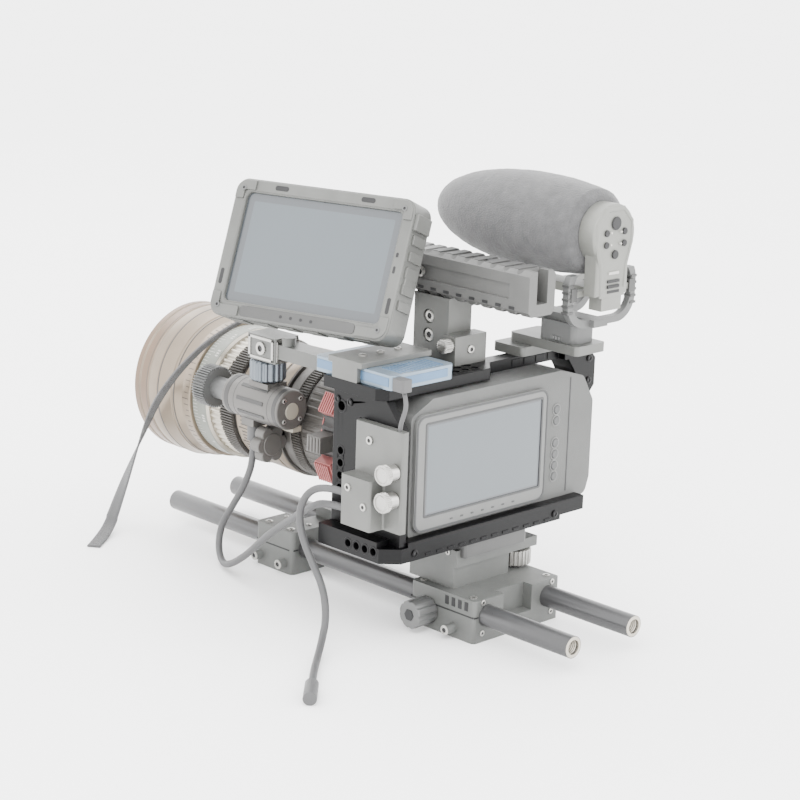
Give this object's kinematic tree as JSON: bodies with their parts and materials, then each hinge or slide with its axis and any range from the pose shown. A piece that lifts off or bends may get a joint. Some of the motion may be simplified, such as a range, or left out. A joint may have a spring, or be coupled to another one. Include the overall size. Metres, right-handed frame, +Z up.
{
  "type": "cinema camera rig",
  "caption": "Rod-mounted camera in a skeleton cage with a cine lens, geared focus motor, top handle, tilting field monitor, drive and foam-covered microphone.",
  "frame": {"origin": "mouth of the tripod socket in the baseplate's underside, below the lens axis", "axes": "+Y is where the lens looks, +Z is up, +X is the operator's right seen from behind"},
  "size_m": [0.3152, 0.425, 0.3],
  "materials": {
    "rig_grey": "satin",
    "anodised_black": "satin",
    "base_grey": "satin",
    "rod_dark": "satin",
    "camera_grey": "matte",
    "bezel_grey": "gloss",
    "screen_dark": "gloss",
    "button_grey": "matte",
    "record_red": "gloss",
    "sensor_board": "matte",
    "battery_grey": "matte",
    "lens_dark": "satin",
    "lens_grey": "satin",
    "lens_glass": "gloss",
    "tab_red": "satin",
    "motor_grey": "satin",
    "handle_grey": "satin",
    "monitor_grey": "matte",
    "drive_silver": "satin",
    "mic_grey": "satin",
    "lyre_plastic": "matte",
    "foam_grey": "matte",
    "cord_rubber": "matte",
    "plug_grey": "satin",
    "strap_fabric": "matte",
    "screw_silver": "satin",
    "knob_grey": "satin"
  },
  "bodies": {
    "base": {"base_block": "base_grey"},
    "lock_wheel": {"base_lock_wheel": "screw_silver"},
    "side_knob": {"base_knob": "knob_grey"},
    "left_rod": {"rod_left": "rod_dark"},
    "right_rod": {"rod_right": "rod_dark"},
    "rod_clamp": {"front_rod_clamp": "base_grey"},
    "focus": {"focus_ring": "lens_grey"},
    "focus_pinion": {"motor_gear": "knob_grey"},
    "iris": {"iris_ring": "lens_grey"},
    "lens_lock": {"locking_ring": "tab_red"},
    "motor_lock": {"motor_knob": "motor_grey"},
    "post_lock": {"clamp_knob": "screw_silver"},
    "clamp_screw_upper": {"thumbscrew_upper": "screw_silver"},
    "clamp_screw_lower": {"thumbscrew_lower": "screw_silver"},
    "record_key": {"record_button": "record_red"},
    "yoke": {"monitor_yoke": "rig_grey"},
    "monitor": {"monitor_cage": "rig_grey", "monitor_body": "monitor_grey"},
    "rear_key_1": {"rear_button_1": "button_grey"},
    "rear_key_2": {"rear_button_2": "button_grey"},
    "rear_key_3": {"rear_button_3": "button_grey"},
    "rear_key_4": {"rear_button_4": "button_grey"},
    "rear_key_5": {"rear_button_5": "button_grey"},
    "rear_key_6": {"rear_button_6": "button_grey"},
    "camera": {"slide_plate": "rig_grey", "cage_bottom": "anodised_black", "cage_side": "anodised_black", "cage_top": "anodised_black", "camera_rear_shell": "camera_grey", "camera_front_shell": "camera_grey", "lcd_bezel": "bezel_grey", "lcd_glass": "screen_dark", "image_sensor": "sensor_board", "battery": "battery_grey", "lens_mount": "screw_silver", "lens_adapter": "lens_dark", "lens_barrel": "lens_dark", "lens_front_barrel": "lens_grey", "lens_elements": "lens_glass", "motor_body": "motor_grey", "motor_arm": "rig_grey", "handle_grip": "handle_grey", "handle_post": "rig_grey", "monitor_arm": "rig_grey", "ssd_body": "drive_silver", "ssd_clamp": "rig_grey", "cable_clamp": "rig_grey", "shoe_extension": "rig_grey", "mic_lyre": "lyre_plastic", "mic_body": "mic_grey", "mic_windshield": "foam_grey", "motor_cable": "cord_rubber", "floor_cable": "cord_rubber", "neck_strap": "strap_fabric", "drive_cable": "cord_rubber", "mic_cable": "cord_rubber", "motor_plug": "plug_grey", "floor_plug": "plug_grey", "drive_plug": "plug_grey", "fasteners": "screw_silver"}
  },
  "joints": [
    {"name": "camera_slide", "type": "slide", "parent": "base", "child": "camera", "axis": [0, 1, 0], "range_m": [-0.012, 0.012]},
    {"name": "lock_wheel_turn", "type": "hinge", "parent": "base", "child": "lock_wheel", "pos_m": [0.036, 0.012, 0.04], "axis": [0, 0, 1], "continuous": true},
    {"name": "side_knob_turn", "type": "hinge", "parent": "base", "child": "side_knob", "pos_m": [-0.052, 0.017, 0.0132], "axis": [1, 0, 0], "continuous": true},
    {"name": "left_rod_slide", "type": "slide", "parent": "base", "child": "left_rod", "axis": [0, 1, 0], "range_m": [-0.03, 0.03]},
    {"name": "right_rod_slide", "type": "slide", "parent": "base", "child": "right_rod", "axis": [0, 1, 0], "range_m": [-0.03, 0.03]},
    {"name": "rod_clamp_slide", "type": "slide", "parent": "base", "child": "rod_clamp", "axis": [0, 1, 0], "range_m": [-0.02, 0.02]},
    {"name": "focus_turn", "type": "hinge", "parent": "camera", "child": "focus", "pos_m": [0, 0.24, 0.11], "axis": [0, 1, 0], "range_deg": [-135, 135]},
    {"name": "pinion_turn", "type": "hinge", "parent": "camera", "child": "focus_pinion", "pos_m": [-0.05906, 0.226, 0.12919], "axis": [0, 1, 0], "range_deg": [-460, 460]},
    {"name": "iris_turn", "type": "hinge", "parent": "camera", "child": "iris", "pos_m": [0, 0.158, 0.11], "axis": [0, 1, 0], "range_deg": [-45, 3]},
    {"name": "lens_lock_turn", "type": "hinge", "parent": "camera", "child": "lens_lock", "pos_m": [0, 0.113, 0.11], "axis": [0, 1, 0], "range_deg": [0, 30]},
    {"name": "motor_lock_turn", "type": "hinge", "parent": "camera", "child": "motor_lock", "pos_m": [-0.05906, 0.166, 0.153], "axis": [0, 0, 1], "continuous": true},
    {"name": "post_lock_turn", "type": "hinge", "parent": "camera", "child": "post_lock", "pos_m": [-0.019, 0.032, 0.19], "axis": [1, 0, 0], "continuous": true},
    {"name": "clamp_screw_upper_turn", "type": "hinge", "parent": "camera", "child": "clamp_screw_upper", "pos_m": [-0.105, -0.004, 0.125], "axis": [1, 0, 0], "continuous": true},
    {"name": "clamp_screw_lower_turn", "type": "hinge", "parent": "camera", "child": "clamp_screw_lower", "pos_m": [-0.105, -0.004, 0.1065], "axis": [1, 0, 0], "continuous": true},
    {"name": "record_press", "type": "slide", "parent": "camera", "child": "record_key", "axis": [0, 0, -1], "range_m": [0, 0.0008], "stiffness_N_per_m": 400, "springref_m": -0.001},
    {"name": "monitor_pan", "type": "hinge", "parent": "camera", "child": "yoke", "pos_m": [-0.05145, 0.10646, 0.214], "axis": [0, 0, 1], "range_deg": [-40, 15]},
    {"name": "monitor_tilt", "type": "hinge", "parent": "yoke", "child": "monitor", "pos_m": [-0.05145, 0.10646, 0.23366], "axis": [0.2588, -0.9659, 0], "range_deg": [-30, 3]},
    {"name": "rear_press_1", "type": "slide", "parent": "camera", "child": "rear_key_1", "axis": [0, 1, 0], "range_m": [0, 0.0008], "stiffness_N_per_m": 300, "springref_m": -0.0008},
    {"name": "rear_press_2", "type": "slide", "parent": "camera", "child": "rear_key_2", "axis": [0, 1, 0], "range_m": [0, 0.0008], "stiffness_N_per_m": 300, "springref_m": -0.0008},
    {"name": "rear_press_3", "type": "slide", "parent": "camera", "child": "rear_key_3", "axis": [0, 1, 0], "range_m": [0, 0.0008], "stiffness_N_per_m": 300, "springref_m": -0.0008},
    {"name": "rear_press_4", "type": "slide", "parent": "camera", "child": "rear_key_4", "axis": [0, 1, 0], "range_m": [0, 0.0008], "stiffness_N_per_m": 300, "springref_m": -0.0008},
    {"name": "rear_press_5", "type": "slide", "parent": "camera", "child": "rear_key_5", "axis": [0, 1, 0], "range_m": [0, 0.0008], "stiffness_N_per_m": 300, "springref_m": -0.0008},
    {"name": "rear_press_6", "type": "slide", "parent": "camera", "child": "rear_key_6", "axis": [0, 1, 0], "range_m": [0, 0.0008], "stiffness_N_per_m": 300, "springref_m": -0.0008}
  ],
  "couplings": [
    {"joint": "pinion_turn", "follows": "focus_turn", "ratio": -3.1333}
  ]
}
